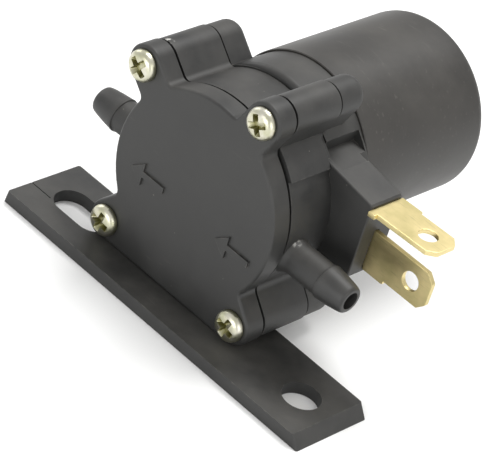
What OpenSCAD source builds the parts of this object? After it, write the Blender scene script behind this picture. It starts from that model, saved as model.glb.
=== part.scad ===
// Small self-priming bilge pump: a gear pump driven by a permanent magnet motor, on a flat foot bar.
// Millimetres. +Z is up. The origin is on the underside of the foot bar, below the pump's centre line,
// in the plane of the front cover's face. The shaft runs along Y, with the motor on the +Y side.

/* [Foot bar] */
// length of the foot bar
bar_len = 62.7; // [56:0.1:80]
// width of the foot bar, front to back
bar_w = 14.8; // [13.5:0.1:17]
// thickness of the foot bar
bar_t = 2.1; // [1.8:0.1:3]
// how far the bar reaches in front of the cover face
bar_front = 5.6; // [4.5:0.1:6.5]
// how far the bar's middle sits to the right of the pump
bar_shift = 2.95; // [0:0.05:4]
// width of the mounting slot and of the round hole
slot_w = 6; // [4.5:0.1:7]
// end to end length of the mounting slot
slot_len = 10.5; // [8:0.1:12]
// distance from each bar end to the edge of its slot or hole
slot_margin = 3.9; // [3:0.1:5]

/* [Pump housing] */
// radius of the round front cover
cover_r = 15.6; // [14.5:0.1:19]
// thickness of the front cover
cover_t = 3.6; // [3.2:0.1:4.4]
// length of the mid body along the shaft
body_len = 9.6; // [9.4:0.1:12]
// length of the motor mount along the shaft
mount_len = 7.4; // [7.3:0.1:9]
// radius of the screw ears
ear_r = 3.15; // [2.8:0.05:3.8]
// how far the screws sit outside the cover's edge
screw_out = 3.9; // [3.4:0.1:4.5]
// angle of the upper left screw
left_ear_angle = 139; // [125:1:145]
// angle of the upper right screw
right_ear_angle = 66.5; // [60:0.5:75]

/* [Hose spigots] */
// outer radius of a spigot's barrel
port_r = 2.6; // [2.4:0.05:3.4]
// radius of the bore through a spigot
port_bore_r = 1.4; // [1.2:0.05:1.6]
// half the distance between the two spigot tips
port_reach = 26.1; // [25.5:0.1:32]
// how far the middle of the spigots sits to the right of the pump
port_shift = 0.6; // [0:0.1:1]

/* [Gears] */
// number of teeth on each gear
gear_teeth = 14; // [14:1:14]
// tooth size, pitch diameter over number of teeth
gear_module = 0.75; // [0.7:0.01:0.76]
// gear width along the shaft
gear_w = 5.5; // [5:0.1:5.8]

/* [Motor] */
// outer radius of the motor can
can_r = 13.9; // [13.4:0.1:15]
// length of the motor can
can_len = 27; // [26.5:0.1:34]
// radius of the motor shaft
shaft_r = 1.5; // [1.3:0.05:1.6]

/* [Terminals] */
// width of a blade terminal
blade_w = 6.3; // [5.8:0.1:6.4]
// thickness of a blade terminal
blade_t = 0.8; // [0.6:0.05:1]
// how far a blade stands out of the terminal block
blade_out = 11.8; // [9:0.1:14]
// upward bend of the upper blade
blade_bend = 2; // [0:1:10]
// width of the terminal block, front to back
block_w = 6.7; // [6.6:0.1:8]

/* [Hidden] */
$fn = 64;
eps = 0.02;

// stations along the shaft
body_y = cover_t;
mount_y = body_y + body_len;
can_y = mount_y + mount_len;
can_end = can_y + can_len;

// heights and screw places
disc_z = cover_r + 3.8;
bolt_r = cover_r + screw_out;
low_drop = disc_z - bar_t - ear_r;
low_x = sqrt(bolt_r * bolt_r - low_drop * low_drop);
pitch_r = gear_module * gear_teeth / 2;
axis_z = disc_z + 3;
port_z = axis_z - pitch_r;
idler_z = axis_z - 2 * pitch_r;
screws_at = [
  [bolt_r * cos(left_ear_angle), disc_z + bolt_r * sin(left_ear_angle)],
  [bolt_r * cos(right_ear_angle), disc_z + bolt_r * sin(right_ear_angle)],
  [-low_x, bar_t + ear_r],
  [low_x, bar_t + ear_r]];
screw_head_r = 2.45;
screw_head_h = 1.5;
screw_r = 1.3;
screw_end = mount_y + 3.2;
boss_end = mount_y + 5.6;

// gear chamber
gear_gap = 0.3;
tip_r = pitch_r + gear_module;
root_r = pitch_r - 1.25 * gear_module;
chamber_r = tip_r + gear_gap;
chamber_end = body_y + gear_w + 2 * gear_gap;
gear_y = body_y + gear_gap;
port_y = (body_y + chamber_end) / 2;
backlash = 0.3;
run_fit = 0.05;
seal_r = 4;
seal_y = mount_y - 2.6;
ring_r = chamber_r + 1;
ring_t = 0.5;

// motor inside
can_wall = 0.9;
cavity_r = can_r - 2.9;
card_r = cavity_r + 0.7;
register_r = can_r - can_wall - run_fit;
bushing_r = 3;
bushing_y = mount_y + 0.5;
bushing_len = 2.6;
card_y = can_y - 1.1;
cavity_y = can_y - 5.4;
card_t = 1.5;
brush_y = card_y + card_t + 0.4;
brush_w = 2.2;
com_r = 3;
com_y = card_y + card_t + 0.1;
com_len = 3.3;
brush_gap = 0.3;
brush_len = 3.1;
core_y = can_y + 7;
core_len = can_len - 14.2;
core_r = can_r - can_wall - 3.4;
coil_over = 2.4;
bump_r = 4.4;
bump_len = 1.6;
rear_y = can_end - 1.5;
shaft_end = can_end + 0.6;

// terminals
block_x = cover_r + 5.8;
block_low = disc_z - 4;
block_high = disc_z + 9;
block_slope = 8;
block_front = mount_y - 1;
block_mid = block_front + block_w / 2;
upper_z = block_high - 1.1;
upper_y = block_front + 0.1;
inner_x = 6.4;
inner_w = 2;
lower_z = upper_z - 4.3;
arm_t = 0.5;
arm_up_z = axis_z + com_r + brush_gap + brush_len;
arm_low_z = axis_z - com_r - brush_gap - brush_len - arm_t;

// an outline drawn in X and Z, made solid from y0 to y1
module slab(y0, y1) {
  translate([0, y1, 0])
    rotate([90, 0, 0])
      linear_extrude(y1 - y0)
        children();
}

// an outline of radius against Y, turned about the axis at height z
module turned(x, z) {
  translate([x, 0, z])
    rotate([-90, 0, 0])
      rotate_extrude()
        children();
}

module rod(x, z, r, y0, y1) {
  slab(y0, y1)
    translate([x, z])
      circle(r);
}

module ring(x, z, r_out, r_in, y0, y1) {
  difference() {
    rod(x, z, r_out, y0, y1);
    rod(x, z, r_in, y0 - 1, y1 + 1);
  }
}

module box(x0, x1, y0, y1, z0, z1) {
  translate([x0, y0, z0])
    cube([x1 - x0, y1 - y0, z1 - z0]);
}

// one ear: a round end, with straight sides a hair narrower running in to the disc
module ear(at, r) {
  lean = atan2(disc_z - at[1], -at[0]);
  half_w = 0.99 * r;
  translate(at) {
    circle(r);
    rotate(lean)
      translate([0, -half_w])
        square([norm([at[0], at[1] - disc_z]) - cover_r / 2, 2 * half_w]);
  }
}

// outline shared by the cover and the mid body; shrink pulls it in all round
module housing_outline(shrink) {
  translate([0, disc_z])
    circle(cover_r - shrink);
  for (at = screws_at)
    ear(at, ear_r - shrink);
  translate([-low_x, bar_t])
    square([2 * low_x, disc_z - bar_t - 3]);
}

module screw_holes(r, y0, y1) {
  for (at = screws_at)
    rod(at[0], at[1], r, y0, y1);
}

// bar outline seen from the front: ends slope in towards the top
module bar_outline(left_cut, height) {
  left = bar_shift - bar_len / 2 + left_cut;
  right = bar_shift + bar_len / 2;
  polygon([[left, 0], [right, 0], [right - 1.6, height], [left + 0.3, height]]);
}

module foot_bar() {
  step = 0.25;
  left_edge = bar_shift - bar_len / 2 + slot_margin;
  right_edge = bar_shift + bar_len / 2 - slot_margin;
  mid_y = bar_w / 2 - bar_front;
  difference() {
    union() {
      slab(-bar_front, 0)
        bar_outline(0, bar_t);
      slab(-eps, bar_w - bar_front)
        bar_outline(step, bar_t - 0.1);
    }
    for (x = [left_edge + slot_w / 2, left_edge + slot_len - slot_w / 2])
      translate([x, mid_y, -1])
        cylinder(r = slot_w / 2, h = bar_t + 2);
    box(left_edge + slot_w / 2, left_edge + slot_len - slot_w / 2,
      mid_y - slot_w / 2, mid_y + slot_w / 2, -1, bar_t + 1);
    translate([right_edge - slot_w / 2, mid_y, -1])
      cylinder(r = slot_w / 2, h = bar_t + 2);
  }
}

// spigot profile: barrel, step up to the hose barb, rounded taper to the tip
module port_profile(root) {
  barb = port_reach - 4.8;
  barb_r = port_r + 0.2;
  tip_flat = port_r - 0.75;
  polygon([[0, root], [port_r, root], [port_r, barb], [barb_r, barb], [barb_r, barb + 0.8],
    [port_r, port_reach - 1.5], [tip_flat + 0.3, port_reach - 0.4], [tip_flat, port_reach],
    [0, port_reach]]);
}

module port(side) {
  translate([port_shift, port_y, port_z])
    rotate([0, side * 90, 0])
      rotate_extrude()
        port_profile(cover_r - 3);
}

// both spigots' bores, each stepping down to a narrower port into the gear chamber
module port_bores() {
  port_in_r = 0.75 * port_bore_r;
  step_x = chamber_r + 0.8;
  translate([-step_x - 0.5, port_y, port_z])
    rotate([0, 90, 0])
      cylinder(r = port_in_r, h = 2 * step_x + 1);
  for (x = [-port_reach - 1, step_x])
    translate([x, port_y, port_z])
      rotate([0, 90, 0])
        cylinder(r = port_bore_r, h = port_reach + 1 - step_x + (x > 0 ? port_shift : 0));
}

module chamber(r, y0, y1) {
  rod(0, axis_z, r, y0, y1);
  rod(0, idler_z, r, y0, y1);
}

// closed loop of round cord sunk in the body's front face, round both gears
module seal_path(r) {
  seal_mid = body_y + ring_t;
  for (end = [[axis_z, 0], [idler_z, 180]])
    translate([0, seal_mid, end[0]])
      rotate([90, 0, 0])
        rotate([0, 0, end[1]])
          rotate_extrude(angle = 180)
            translate([ring_r, 0])
              circle(r);
  for (side = [-1, 1])
    translate([side * ring_r, seal_mid, idler_z])
      cylinder(r = r, h = axis_z - idler_z);
}

module pump_body() color("#2b2b2b") {
  difference() {
    union() {
      slab(body_y, mount_y)
        housing_outline(0.25);
      foot_bar();
      box(-low_x, low_x, body_y, bar_w - bar_front, 0.5, bar_t + 1);
      port(1);
      port(-1);
    }
    chamber(chamber_r, body_y - 1, chamber_end);
    screw_holes(screw_r + 0.2, body_y - 1, mount_y + 1);
    port_bores();
    rod(0, axis_z, shaft_r + 0.3, chamber_end - 1, mount_y + 1);
    rod(0, axis_z, seal_r, seal_y, mount_y + 1);
    rod(0, idler_z, shaft_r, chamber_end - 1, mount_y - 1.2);
    seal_path(ring_t + 0.05);
  }
}

// flow arrow outline pointing left, centred on its own origin
module arrow() {
  shaft_h = 0.7;
  polygon([[-3.2, 0], [-1, 1.5], [-1, shaft_h / 2], [3, shaft_h / 2], [3, -shaft_h / 2],
    [-1, -shaft_h / 2], [-1, -1.5]]);
}

// the front edge is stepped back all round
module front_cover() color("#2e2e2e") {
  step = 0.35;
  arrow_h = 0.2;
  difference() {
    union() {
      slab(step, cover_t)
        housing_outline(0);
      slab(0, step + eps)
        housing_outline(step);
      for (place = [[-8.2, port_z], [9.6, port_z - 0.4]])
        translate([place[0], 0, place[1]])
          slab(-arrow_h, eps)
            arrow();
    }
    screw_holes(screw_r + 0.2, -1, cover_t + 1);
  }
}

// pan head: flat under, domed top, with a cross recess
module screw(at) {
  recess_w = 0.6;
  recess_l = 2.7;
  difference() {
    union() {
      turned(at[0], at[1])
        intersection() {
          translate([0, -screw_head_h])
            square([screw_head_r, screw_head_h]);
          translate([0, 1.6])
            circle(screw_head_h + 1.6);
        }
      rod(at[0], at[1], screw_r, -eps, screw_end);
    }
    for (turn = [20, 110])
      translate([at[0], -screw_head_h + 0.45, at[1]])
        rotate([0, turn, 0])
          cube([recess_l, 2 * screw_head_h - 0.9, recess_w], center = true);
  }
}

module cover_screws() color("#c9c5ad") {
  for (at = screws_at)
    screw(at);
}

module cover_seal() color("#1a1a1a") {
  seal_path(ring_t);
}

// involute of the base circle, at roll angle t in degrees
function involute(base, t) = [
  base * (cos(t) + t * PI / 180 * sin(t)),
  base * (sin(t) - t * PI / 180 * cos(t))];

// one flank point at radius r, turned so that the tooth is centred on the X axis
function flank(base, r, half, side) =
  let (t = sqrt(max(0, r * r / (base * base) - 1)) * 180 / PI, p = involute(base, t),
    a = half - atan2(p[1], p[0]))
  [r * cos(a), side * r * sin(a)];

module gear_outline() {
  steps = 6;
  base = pitch_r * cos(20);
  low = max(base, root_r + 0.05);
  pitch_t = tan(20) * 180 / PI - 20;
  half = 90 / gear_teeth + pitch_t - backlash / 4 / pitch_r * 180 / PI;
  circle(root_r);
  for (i = [0 : gear_teeth - 1])
    rotate(i * 360 / gear_teeth)
      polygon(concat(
        [[0, -root_r / 3]],
        [for (k = [0 : steps]) flank(base, low + (tip_r - low) * k / steps, half, -1)],
        [for (k = [steps : -1 : 0]) flank(base, low + (tip_r - low) * k / steps, half, 1)],
        [[0, root_r / 3]]));
}

module gear(z, bore, turn) {
  difference() {
    slab(gear_y, gear_y + gear_w)
      translate([0, z])
        rotate(turn)
          gear_outline();
    rod(0, z, bore, gear_y - 1, gear_y + gear_w + 1);
  }
}

module drive_gear() color("#d9d4c4") {
  gear(axis_z, shaft_r, -90);
}

module idler_gear() color("#d9d4c4") {
  gear(idler_z, shaft_r + run_fit, 90 + 180 / gear_teeth);
}

module idler_pin() color("#9a9a9a") {
  rod(0, idler_z, shaft_r, gear_y, mount_y - 1.2);
}

module shaft_seal() color("#181818") {
  ring(0, axis_z, seal_r, shaft_r + run_fit, seal_y, mount_y - 0.6);
}

module seal_washer() color("#a8a8a8") {
  ring(0, axis_z, seal_r, shaft_r + 0.4, mount_y - 0.6, mount_y);
}

module mount_flange() {
  slab(mount_y, can_y)
    translate([0, disc_z])
      circle(cover_r + 0.1);
  for (at = screws_at)
    slab(mount_y, boss_end)
      ear(at, ear_r - 0.3);
  ring(0, axis_z, register_r, cavity_r, can_y - eps, can_y + 3);
}

// terminal block seen from the front, with a sloping top; inner is how near the shaft it starts
module block_outline(inner) {
  rise = (block_x - inner) * tan(block_slope);
  polygon([[inner, block_low], [block_x, block_low], [block_x, block_high],
    [inner, block_high + rise]]);
}

module motor_mount() color("#262626") {
  pocket_w = 1.3;
  difference() {
    union() {
      mount_flange();
      slab(mount_y, block_front + block_w)
        block_outline(cover_r / 2);
      slab(block_front, mount_y + eps)
        block_outline(cover_r + 0.3);
    }
    rod(0, axis_z, cavity_r, cavity_y, can_y + 9);
    rod(0, axis_z, card_r, card_y, can_y + 9);
    rod(0, axis_z, bushing_r, bushing_y, mount_y + 4);
    rod(0, axis_z, shaft_r + 0.3, mount_y - 1, mount_y + 4);
    screw_holes(screw_r, mount_y - 1, screw_end + 0.3);
    // open pocket between the disc and the top of the terminal block
    translate([cover_r * cos(43), mount_y + 0.6, disc_z + cover_r * sin(43)])
      rotate([0, block_slope, 0])
        translate([-1.6, 0, -pocket_w / 2])
          cube([4, mount_len - 1.4, pocket_w]);
    terminal_upper_solid();
    terminal_lower_solid();
    box(inner_x - 0.2, cavity_r, cavity_y, card_y, arm_low_z, axis_z);
  }
}

module motor_can() color("#33322e") {
  round_r = 1.6;
  turned(0, axis_z)
    difference() {
      union() {
        translate([0, can_y])
          square([can_r, can_len - round_r]);
        translate([0, can_y])
          square([can_r - round_r, can_len]);
        translate([can_r - round_r, can_end - round_r])
          circle(round_r);
        translate([0, can_end - 1])
          square([bump_r, bump_len + 1]);
      }
      translate([-1, can_y - 1])
        square([can_r - can_wall + 1, can_len + 1 - can_wall]);
      translate([-1, can_y])
        square([bushing_r + 1, can_len + bump_len - can_wall]);
      translate([-2 * can_r, can_y - 2])
        square([2 * can_r, can_len + 8]);
    }
}

module motor_shaft() color("#b9bcc0") {
  rod(0, axis_z, shaft_r, gear_y, shaft_end);
}

module front_bushing() color("#a98a5a") {
  ring(0, axis_z, bushing_r, shaft_r + run_fit, bushing_y, bushing_y + bushing_len);
}

module rear_bushing() color("#a98a5a") {
  ring(0, axis_z, bushing_r, shaft_r + run_fit, rear_y, can_end + bump_len - can_wall);
}

module front_spacer() color("#e6e2d6") {
  ring(0, axis_z, shaft_r + 0.9, shaft_r, bushing_y + bushing_len + 0.3, com_y);
}

module rear_spacer() color("#e6e2d6") {
  ring(0, axis_z, shaft_r + 0.9, shaft_r, core_y + core_len, rear_y - 0.3);
}

// three pole stack: hub, three narrow necks and three curved pole shoes
module armature_core() color("#7d8085") {
  slab(core_y, core_y + core_len)
    translate([0, axis_z])
      difference() {
        union() {
          circle(3.4);
          for (i = [0 : 2])
            rotate(i * 120) {
              translate([0, -1.6])
                square([core_r - 1.6, 3.2]);
              intersection() {
                difference() {
                  circle(core_r);
                  circle(core_r - 1.8);
                }
                polygon([[0, 0], [2 * core_r, -2.6 * core_r], [2 * core_r, 2.6 * core_r]]);
              }
            }
        }
        circle(shaft_r);
      }
}

// one coil round each neck of the core
module windings() color("#a4552a") {
  thick = 1.5;
  wide = 3.2;
  for (i = [0 : 2])
    translate([0, 0, axis_z])
      rotate([0, i * 120, 0])
        difference() {
          box(3.7, core_r - 2.6, core_y - coil_over, core_y + core_len + coil_over,
            -wide / 2 - thick, wide / 2 + thick);
          box(3, core_r, core_y, core_y + core_len, -wide / 2, wide / 2);
        }
}

module commutator() color("#b4703a") {
  difference() {
    ring(0, axis_z, com_r, shaft_r, com_y, com_y + com_len);
    for (i = [0 : 2])
      translate([0, com_y - 1, axis_z])
        rotate([0, 60 + i * 120, 0])
          translate([com_r - 0.7, 0, -0.2])
            cube([2, com_len + 2, 0.4]);
  }
}

module magnets() color("#3b3b3d") {
  outer = can_r - can_wall;
  for (side = [0, 180])
    slab(core_y - 1.5, core_y + core_len + 1.5)
      translate([0, axis_z])
        rotate(side)
          intersection() {
            difference() {
              circle(outer);
              circle(core_r + 0.5);
            }
            polygon([[0, 0], [outer, -2 * outer], [2 * outer, -2 * outer], [2 * outer, 2 * outer],
              [outer, 2 * outer]]);
          }
}

module arm_slots(gap) {
  for (z = [arm_up_z, arm_low_z])
    box(inner_x - gap, inner_x + inner_w + gap, card_y - 1, card_y + card_t + 4,
      z - gap, z + arm_t + gap);
}

module brush_card() color("#4a3a2a") {
  guide = 0.9;
  difference() {
    union() {
      rod(0, axis_z, card_r, card_y, card_y + card_t);
      for (up = [-1, 1], side = [-1, 1])
        translate([side * (brush_w / 2 + 0.1 + guide / 2), card_y + card_t + 1.2,
          axis_z + up * (com_r + 1.9)])
          cube([guide, 2.4 + 2 * eps, 2], center = true);
    }
    rod(0, axis_z, com_r + 0.6, card_y - 1, card_y + card_t + 4);
    arm_slots(0.2);
  }
}

module brushes() color("#2c2c2e") {
  for (z = [axis_z + com_r + brush_gap, axis_z - com_r - brush_gap - brush_len])
    box(-brush_w / 2, brush_w / 2, brush_y, brush_y + brush_w, z, z + brush_len);
}

// strips from the inner ends of the blades to the backs of the brushes
module brush_arms() color("#c58f4e") {
  for (z = [arm_up_z, arm_low_z])
    box(-brush_w / 2, inner_x + inner_w, brush_y, brush_y + brush_w, z, z + arm_t);
  box(inner_x, inner_x + inner_w, block_mid + 0.4, brush_y + brush_w, arm_up_z, arm_up_z + arm_t);
  box(inner_x, inner_x + inner_w, block_mid + blade_t / 2, brush_y + brush_w,
    arm_low_z, arm_low_z + arm_t);
}

// blade drawn flat: shoulder, tab with cut corners, and a hole near the tip
module blade_outline(shoulder_near, shoulder_far) {
  cut = 1.3;
  translate([0, -shoulder_near])
    square([1.2, blade_w / 2]);
  translate([0, blade_w / 2])
    square([4, blade_w / 2 + shoulder_far]);
  difference() {
    polygon([[-0.5, 0], [blade_out - cut, 0], [blade_out, cut], [blade_out, blade_w - cut],
      [blade_out - cut, blade_w], [-0.5, blade_w]]);
    translate([blade_out - 3.6, blade_w / 2])
      circle(1.45);
  }
}

module terminal_upper_solid() {
  translate([block_x, upper_y, upper_z])
    rotate([0, -blade_bend, 0])
      translate([0, 0, -blade_t / 2])
        linear_extrude(blade_t)
          blade_outline(0.6, 0.5);
  box(inner_x + inner_w, block_x + 0.1, mount_y + 0.3, block_front + block_w - 0.6,
    upper_z - blade_t / 2, upper_z + blade_t / 2);
  box(inner_x, inner_x + inner_w, block_mid + 0.4, block_front + block_w - 0.6,
    upper_z - blade_t / 2, arm_up_z);
}

module terminal_upper() color("#cdbf86") {
  terminal_upper_solid();
}

module terminal_lower_solid() {
  translate([block_x, block_mid + blade_t / 2, lower_z])
    rotate([90, 0, 0])
      mirror([0, 1, 0])
        linear_extrude(blade_t)
          blade_outline(0, 0.6);
  box(inner_x + inner_w, block_x, block_mid - blade_t / 2, block_mid + blade_t / 2,
    lower_z - blade_w + 0.5, lower_z - 0.5);
  box(inner_x, inner_x + inner_w + eps, block_mid - blade_t / 2, block_mid + blade_t / 2,
    arm_low_z, lower_z - 2);
}

module terminal_lower() color("#c9bc88") {
  terminal_lower_solid();
}

pump_body();
front_cover();
cover_screws();
cover_seal();
drive_gear();
idler_gear();
idler_pin();
shaft_seal();
seal_washer();
motor_mount();
motor_can();
motor_shaft();
front_bushing();
rear_bushing();
front_spacer();
rear_spacer();
armature_core();
windings();
commutator();
magnets();
brush_card();
brushes();
brush_arms();
terminal_upper();
terminal_lower();
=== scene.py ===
import math

import bmesh
import bpy
from bpy.props import FloatProperty, FloatVectorProperty, PointerProperty
from mathutils import Matrix, Vector, noise


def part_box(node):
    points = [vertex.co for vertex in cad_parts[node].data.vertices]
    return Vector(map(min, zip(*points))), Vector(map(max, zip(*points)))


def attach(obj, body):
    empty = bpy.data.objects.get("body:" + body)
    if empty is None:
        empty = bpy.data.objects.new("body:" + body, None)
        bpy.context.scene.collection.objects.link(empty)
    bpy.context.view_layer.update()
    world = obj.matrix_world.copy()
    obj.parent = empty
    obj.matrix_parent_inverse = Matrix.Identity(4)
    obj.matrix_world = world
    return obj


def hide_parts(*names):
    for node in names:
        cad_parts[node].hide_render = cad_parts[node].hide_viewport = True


bl_info = {
    "name": "Bilge Pump Finish",
    "version": (1, 0, 0),
    "blender": (4, 5, 0),
    "location": "View3D > Sidebar > Bilge Pump",
    "description": "Builds the visible pieces of a small gear bilge pump round its packed frame",
    "category": "Object",
}

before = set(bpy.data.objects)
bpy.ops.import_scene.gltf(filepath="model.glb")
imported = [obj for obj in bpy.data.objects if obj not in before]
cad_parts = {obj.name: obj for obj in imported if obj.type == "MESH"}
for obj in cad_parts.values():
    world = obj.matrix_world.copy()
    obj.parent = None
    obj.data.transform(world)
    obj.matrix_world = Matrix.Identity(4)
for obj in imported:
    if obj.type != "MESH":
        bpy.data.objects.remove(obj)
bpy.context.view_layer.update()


# millimetres and degrees, the same as in the CAD
DISC_RISE = 3.8  # from the floor up to the disc's lowest point
SCREW_OUT = 3.9  # from the disc's edge out to a screw's axis
SCREW_R = 1.3
SCREW_HOLE_R = 1.5
RIGHT_EAR_ANGLE = 66.5
LEFT_EAR_ANGLE = 139.0
FOOT_THICK = 2.1
CHAMBER_DEEP = 6.1
CHAMBER_R = 6.3
SHAFT_HOLE_R = 1.8
PORT_DROP = 5.25  # from the shaft's axis down to the ports
SPIGOT_TIP = 26.1
SPIGOT_SHIFT = 0.6  # the right spigot is longer by this, the left one shorter
BLOCK_DEEP = 6.7
BLADE_OUT = 11.8
BLADE_DROP = 4.3  # from the upper blade's middle down to the lower blade's top
BLADE_BEND = 2.0

# millimetres and degrees
BLOCK_AHEAD = 1.0  # how far the terminal block reaches ahead of the mount
BLOCK_TOP = 9.0  # from the disc's centre up to the block's top, at its outer end
BLOCK_SLOPE = 8.0
BLADE_BELOW = 1.1  # from the block's top down to the upper blade's middle
ARROW_PROUD = 0.32
RECESS_TURNS = (18.0, 62.0, 35.0, 10.0)  # how far round each screw stopped


def node_box(node):
    """Lowest and highest corner of a CAD node, in millimetres."""
    low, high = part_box(node)
    return Vector(low) * 1000, Vector(high) * 1000


_, COVER_HIGH = node_box("front_cover")
BODY_LOW, BODY_HIGH = node_box("pump_body")
_, MOUNT_HIGH = node_box("motor_mount")
CAN_LOW, CAN_HIGH = node_box("motor_can")
SHAFT_LOW, SHAFT_HIGH = node_box("motor_shaft")
PIN_LOW, PIN_HIGH = node_box("idler_pin")
SCREWS_LOW, SCREWS_HIGH = node_box("cover_screws")
LOWER_LOW, _ = node_box("terminal_lower")
SEAL_LOW, _ = node_box("shaft_seal")
CARD_LOW, _ = node_box("brush_card")
BUSH_LOW, _ = node_box("front_bushing")
_, ARMS_HIGH = node_box("brush_arms")
AXIS_Z = (SHAFT_LOW.z + SHAFT_HIGH.z) / 2
IDLER_Z = (PIN_LOW.z + PIN_HIGH.z) / 2
PORT_Y = (COVER_HIGH.y * 2 + CHAMBER_DEEP) / 2
PORT_Z = AXIS_Z - PORT_DROP


def linear(code):
    """sRGB hex colour to the linear red, green and blue that shaders take."""
    parts = [int(code[i : i + 2], 16) / 255 for i in (1, 3, 5)]
    return tuple(c / 12.92 if c <= 0.04045 else ((c + 0.055) / 1.055) ** 2.4 for c in parts)


def size(name, value, text):
    """A length property, its default given in millimetres."""
    return FloatProperty(
        name=name, description=text, default=value / 1000, min=0.0, precision=5,
        subtype="DISTANCE", unit="LENGTH",
    )


def colour(name, code, text):
    """A colour property, its default given as sRGB hex."""
    return FloatVectorProperty(
        name=name, description=text, default=linear(code), size=3, min=0.0, max=1.0, subtype="COLOR"
    )


class PumpSizes(bpy.types.PropertyGroup):
    cover_r: size("Cover radius", 15.6, "Radius of the round front cover")
    ear_r: size("Ear radius", 3.15, "Radius of the screw ears")
    seam_step: size("Seam step", 0.14, "How far the mid body sits inside the cover's edge")
    fillet: size("Ear fillet", 1.1, "Radius of the inside corner where an ear leaves the disc")
    edge: size("Moulded edge", 0.45, "Rounding of the cover's outer edge")
    seam_edge: size("Seam edge", 0.1, "Rounding of the edges that meet at a seam")
    seam_gap: size("Seam gap", 0.17, "Half the width of the groove at a seam")
    seam_deep: size("Seam depth", 0.9, "Depth of the groove at a seam")
    spigot_r: size("Spigot radius", 2.6, "Radius of a hose spigot's barrel")
    bore_r: size("Spigot bore radius", 1.4, "Radius of the bore through a spigot")
    slot_w: size("Slot width", 6.0, "Width of the mounting slot and of the round hole")
    slot_len: size("Slot length", 10.5, "End to end length of the mounting slot")
    slot_margin: size("Slot margin", 3.9, "From each bar end to the edge of its slot or hole")
    head_r: size("Screw head radius", 2.45, "Radius of a cover screw's pan head")
    blade_w: size("Blade width", 6.3, "Width of a push-on blade terminal")
    blade_t: size("Blade thickness", 0.8, "Thickness of a blade terminal")


class PumpColours(bpy.types.PropertyGroup):
    nylon: colour("Black nylon", "#272726", "Moulded housing parts")
    can_paint: colour("Can paint", "#2a2825", "Black coat on the steel motor can")
    zinc: colour("Yellow zinc", "#cfccbe", "Passivated cover screws")
    brass: colour("Plated brass", "#e2d19c", "Blade terminals")
    # besides dust and wear, this colour paints top light on upward faces and a highlight along sharp edges
    dust_and_sheen: colour("Dust", "#85817a", "Light film on upward faces and in scuffs")
    floor: colour("Floor", "#fbfbfa", "Studio floor")


def mm(value):
    """A length property in millimetres."""
    return value * 1000


def disc_centre():
    """Height of the disc's centre above the floor."""
    return mm(bpy.context.scene.pump_sizes.cover_r) + DISC_RISE


# ---------------------------------------------------------------- outlines


def arc(cx, cy, r, start, stop, step=6.0):
    """Points on a circular arc, angles in degrees, ends included."""
    count = max(2, round(abs(stop - start) / step))
    angles = [math.radians(start + (stop - start) * i / count) for i in range(count + 1)]
    return [(cx + r * math.cos(a), cy + r * math.sin(a)) for a in angles]


def circle(cx, cy, r, step=5.0):
    """Points round a full circle."""
    return arc(cx, cy, r, 0.0, 360.0, step)[:-1]


def thinned(points, gap=0.01):
    """The loop without points that lie on the one before."""
    kept = []
    for point in points:
        if not kept or math.dist(point, kept[-1]) > gap:
            kept.append(point)
    if math.dist(kept[0], kept[-1]) < gap:
        kept.pop()
    return kept


def screw_places():
    """Cover screw centres in X and Z, and their angle round the disc, anticlockwise from the right."""
    s = bpy.context.scene.pump_sizes
    disc_z = disc_centre()
    reach = mm(s.cover_r) + SCREW_OUT
    drop = disc_z - FOOT_THICK - mm(s.ear_r)
    low = math.degrees(math.asin(drop / reach))
    places = []
    for angle in (-low, RIGHT_EAR_ANGLE, LEFT_EAR_ANGLE, 180.0 + low):
        a = math.radians(angle)
        places.append((reach * math.cos(a), disc_z + reach * math.sin(a), angle))
    return places


def ear_sides(angle, disc_r, ear_r, fillet):
    """One ear as an outline piece, from the disc out round the screw and back, with filleted roots.

    Also the angle that the ear takes up on each side of its screw, and the number of points in a root.
    """
    s = bpy.context.scene.pump_sizes
    disc_z = disc_centre()
    reach = mm(s.cover_r) + SCREW_OUT
    side = ear_r + fillet
    along = math.sqrt((disc_r + fillet) ** 2 - side**2)
    lean = math.degrees(math.atan2(side, along))
    first = arc(along, -side, fillet, 180.0 - lean, 90.0, 15.0)
    cap = arc(reach, 0.0, ear_r, -90.0, 90.0, 7.5)
    last = [(x, -y) for x, y in reversed(first)]
    turn = math.radians(angle)
    points = []
    for x, y in first + cap + last:
        across = x * math.cos(turn) - y * math.sin(turn)
        up = x * math.sin(turn) + y * math.cos(turn)
        points.append((across, disc_z + up))
    return points, lean, len(first)


def housing_loop(inset):
    """Disc, four ears and the flat bottom between the lower ears, seen from the front."""
    s = bpy.context.scene.pump_sizes
    disc_r = mm(s.cover_r) - inset
    ear_r = mm(s.ear_r) - inset
    fillet = mm(s.fillet) + inset
    disc_z = disc_centre()
    places = screw_places()
    ears = []
    for _, _, angle in places:
        points, lean, root = ear_sides(angle, disc_r, ear_r, fillet)
        ears.append(points)
    # the right lower ear starts from its lowest point, so that the bottom runs straight across
    x, z, angle = places[0]
    loop = arc(x, z, ear_r, -90.0, angle + 90.0, 7.5)
    loop += ears[0][-root:]
    for before, place, ear in zip(places[:2], places[1:3], ears[1:3]):
        loop += arc(0.0, disc_z, disc_r, before[2] + lean, place[2] - lean, 5.0)
        loop += ear
    x, z, angle = places[3]
    loop += arc(0.0, disc_z, disc_r, places[2][2] + lean, angle - lean, 5.0)
    loop += ears[3][:root]
    loop += arc(x, z, ear_r, angle - 90.0, 270.0, 7.5)
    return thinned(loop)


def ear_loop(place, ear_r):
    """One ear on its own, reaching well into the disc."""
    x, z, angle = place
    disc_z = disc_centre()
    inner = 8.0
    turn = math.radians(angle)
    across = (-math.sin(turn) * ear_r, math.cos(turn) * ear_r)
    root = (inner * math.cos(turn), disc_z + inner * math.sin(turn))
    cap = arc(x, z, ear_r, angle - 90.0, angle + 90.0, 7.5)
    return [(root[0] - across[0], root[1] - across[1])] + cap + [(root[0] + across[0], root[1] + across[1])]


# ---------------------------------------------------------------- solids

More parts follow.
